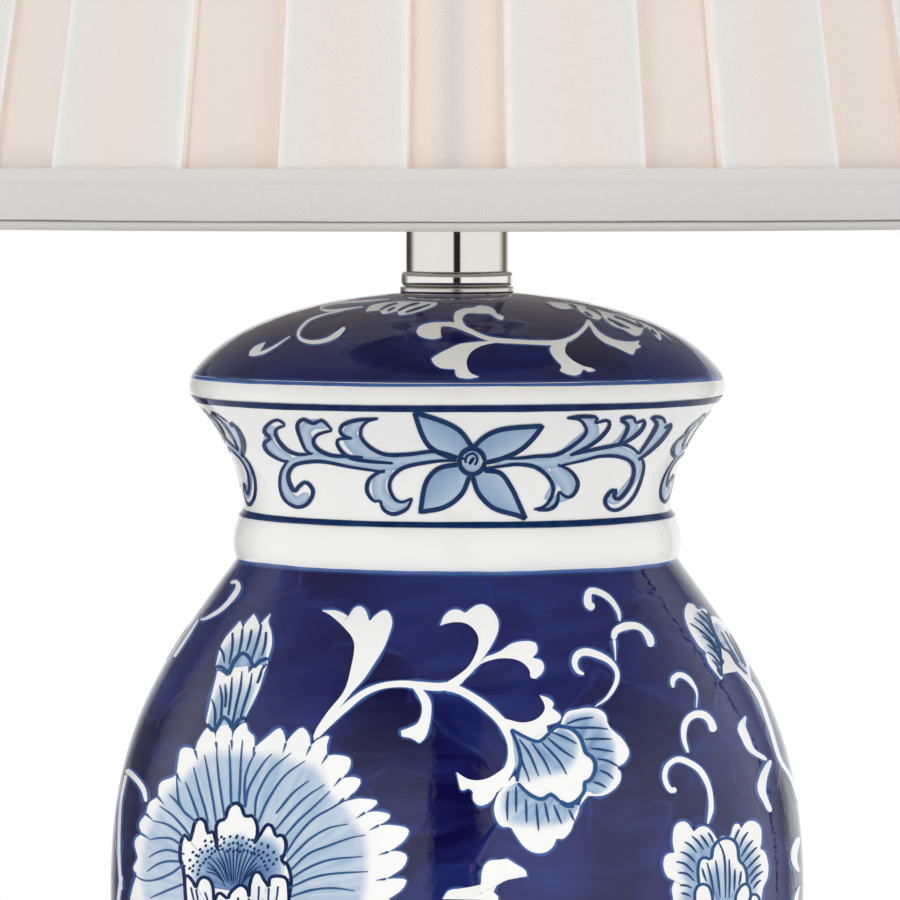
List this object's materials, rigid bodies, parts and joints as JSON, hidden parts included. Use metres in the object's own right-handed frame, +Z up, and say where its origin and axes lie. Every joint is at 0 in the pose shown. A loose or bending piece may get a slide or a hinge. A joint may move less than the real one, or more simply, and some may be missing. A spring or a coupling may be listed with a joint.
{
  "type": "table lamp",
  "caption": "Table lamp: round lidded porcelain jar on a metal foot, with a box-pleated cone shade on a harp, a finial, a bulb, a screw socket and a turning switch.",
  "frame": {"origin": "on the table, under the lamp's centre line", "axes": "+Z up; -Y is the front, where the switch knob points; +Y is the back, where the cord inlet is; +X is to the right seen from the front"},
  "size_m": [0.4314, 0.4314, 0.6859],
  "materials": {
    "felt": "matte",
    "brushed_nickel": "satin",
    "polished_nickel": "polished",
    "zinc_steel": "satin",
    "soft_ring": "matte",
    "porcelain": "gloss",
    "brass": "satin",
    "insulating_paper": "matte",
    "phenolic": "satin",
    "black_plastic": "satin",
    "bulb_metal": "satin",
    "bulb_black": "gloss",
    "frosted_glass": "satin",
    "coated_wire": "satin",
    "stiff_lining": "matte",
    "pleated_cloth": "matte",
    "hem_cloth": "matte",
    "piping_cord": "matte"
  },
  "bodies": {
    "lamp_base": {"felt_pad": "felt", "base_shell": "brushed_nickel", "cord_bushing": "black_plastic", "base_washer": "zinc_steel", "base_lock_washer": "zinc_steel", "base_nut": "zinc_steel", "threaded_rod": "zinc_steel", "foot_gasket": "soft_ring", "jar": "porcelain", "seat_disc": "brushed_nickel", "neck_bead": "polished_nickel", "neck_tube": "brushed_nickel", "neck_cap": "polished_nickel", "harp_saddle": "brushed_nickel", "saddle_nut": "brass", "socket_cap": "brass", "socket_shell": "brass", "socket_insulator": "insulating_paper", "socket_body": "phenolic", "screw_shell": "brass", "center_contact": "brass", "terminal_screws": "brass"},
    "switch": {"switch_shaft": "brass", "switch_knob": "black_plastic"},
    "bulb": {"bulb_contact": "bulb_metal", "bulb_insulator": "bulb_black", "bulb_cap": "bulb_metal", "bulb_glass": "frosted_glass"},
    "harp": {"harp": "brushed_nickel"},
    "sleeve_left": {"harp_sleeve_left": "brushed_nickel"},
    "sleeve_right": {"harp_sleeve_right": "brushed_nickel"},
    "stud": {"harp_stud": "brushed_nickel"},
    "shade": {"shade_fitter": "coated_wire", "shade_bottom_ring": "coated_wire", "shade_lining": "stiff_lining", "pleated_fabric": "pleated_cloth", "bottom_hem": "hem_cloth", "top_hem": "hem_cloth", "bottom_piping": "piping_cord", "top_piping": "piping_cord"},
    "finial": {"finial": "polished_nickel"}
  },
  "joints": [
    {"name": "switch_turn", "type": "hinge", "parent": "lamp_base", "child": "switch", "pos_m": [0, -0.0191, 0.4407], "axis": [0, -1, 0], "continuous": true},
    {"name": "bulb_turn", "type": "hinge", "parent": "lamp_base", "child": "bulb", "pos_m": [0, 0, 0.455], "axis": [0, 0, 1], "continuous": true},
    {"name": "harp_lift", "type": "slide", "parent": "lamp_base", "child": "harp", "axis": [0, 0, 1], "range_m": [0, 0.05]},
    {"name": "sleeve_left_slide", "type": "slide", "parent": "harp", "child": "sleeve_left", "axis": [0, 0, 1], "range_m": [0, 0.012]},
    {"name": "sleeve_right_slide", "type": "slide", "parent": "harp", "child": "sleeve_right", "axis": [0, 0, 1], "range_m": [0, 0.012]},
    {"name": "shade_swivel", "type": "hinge", "parent": "harp", "child": "stud", "pos_m": [0, 0, 0.649], "axis": [0, 0, 1], "continuous": true},
    {"name": "shade_lift", "type": "slide", "parent": "stud", "child": "shade", "axis": [0, 0, 1], "range_m": [0, 0.3]},
    {"name": "finial_turn", "type": "hinge", "parent": "shade", "child": "finial", "pos_m": [0, 0, 0.651], "axis": [0, 0, 1], "continuous": true}
  ]
}
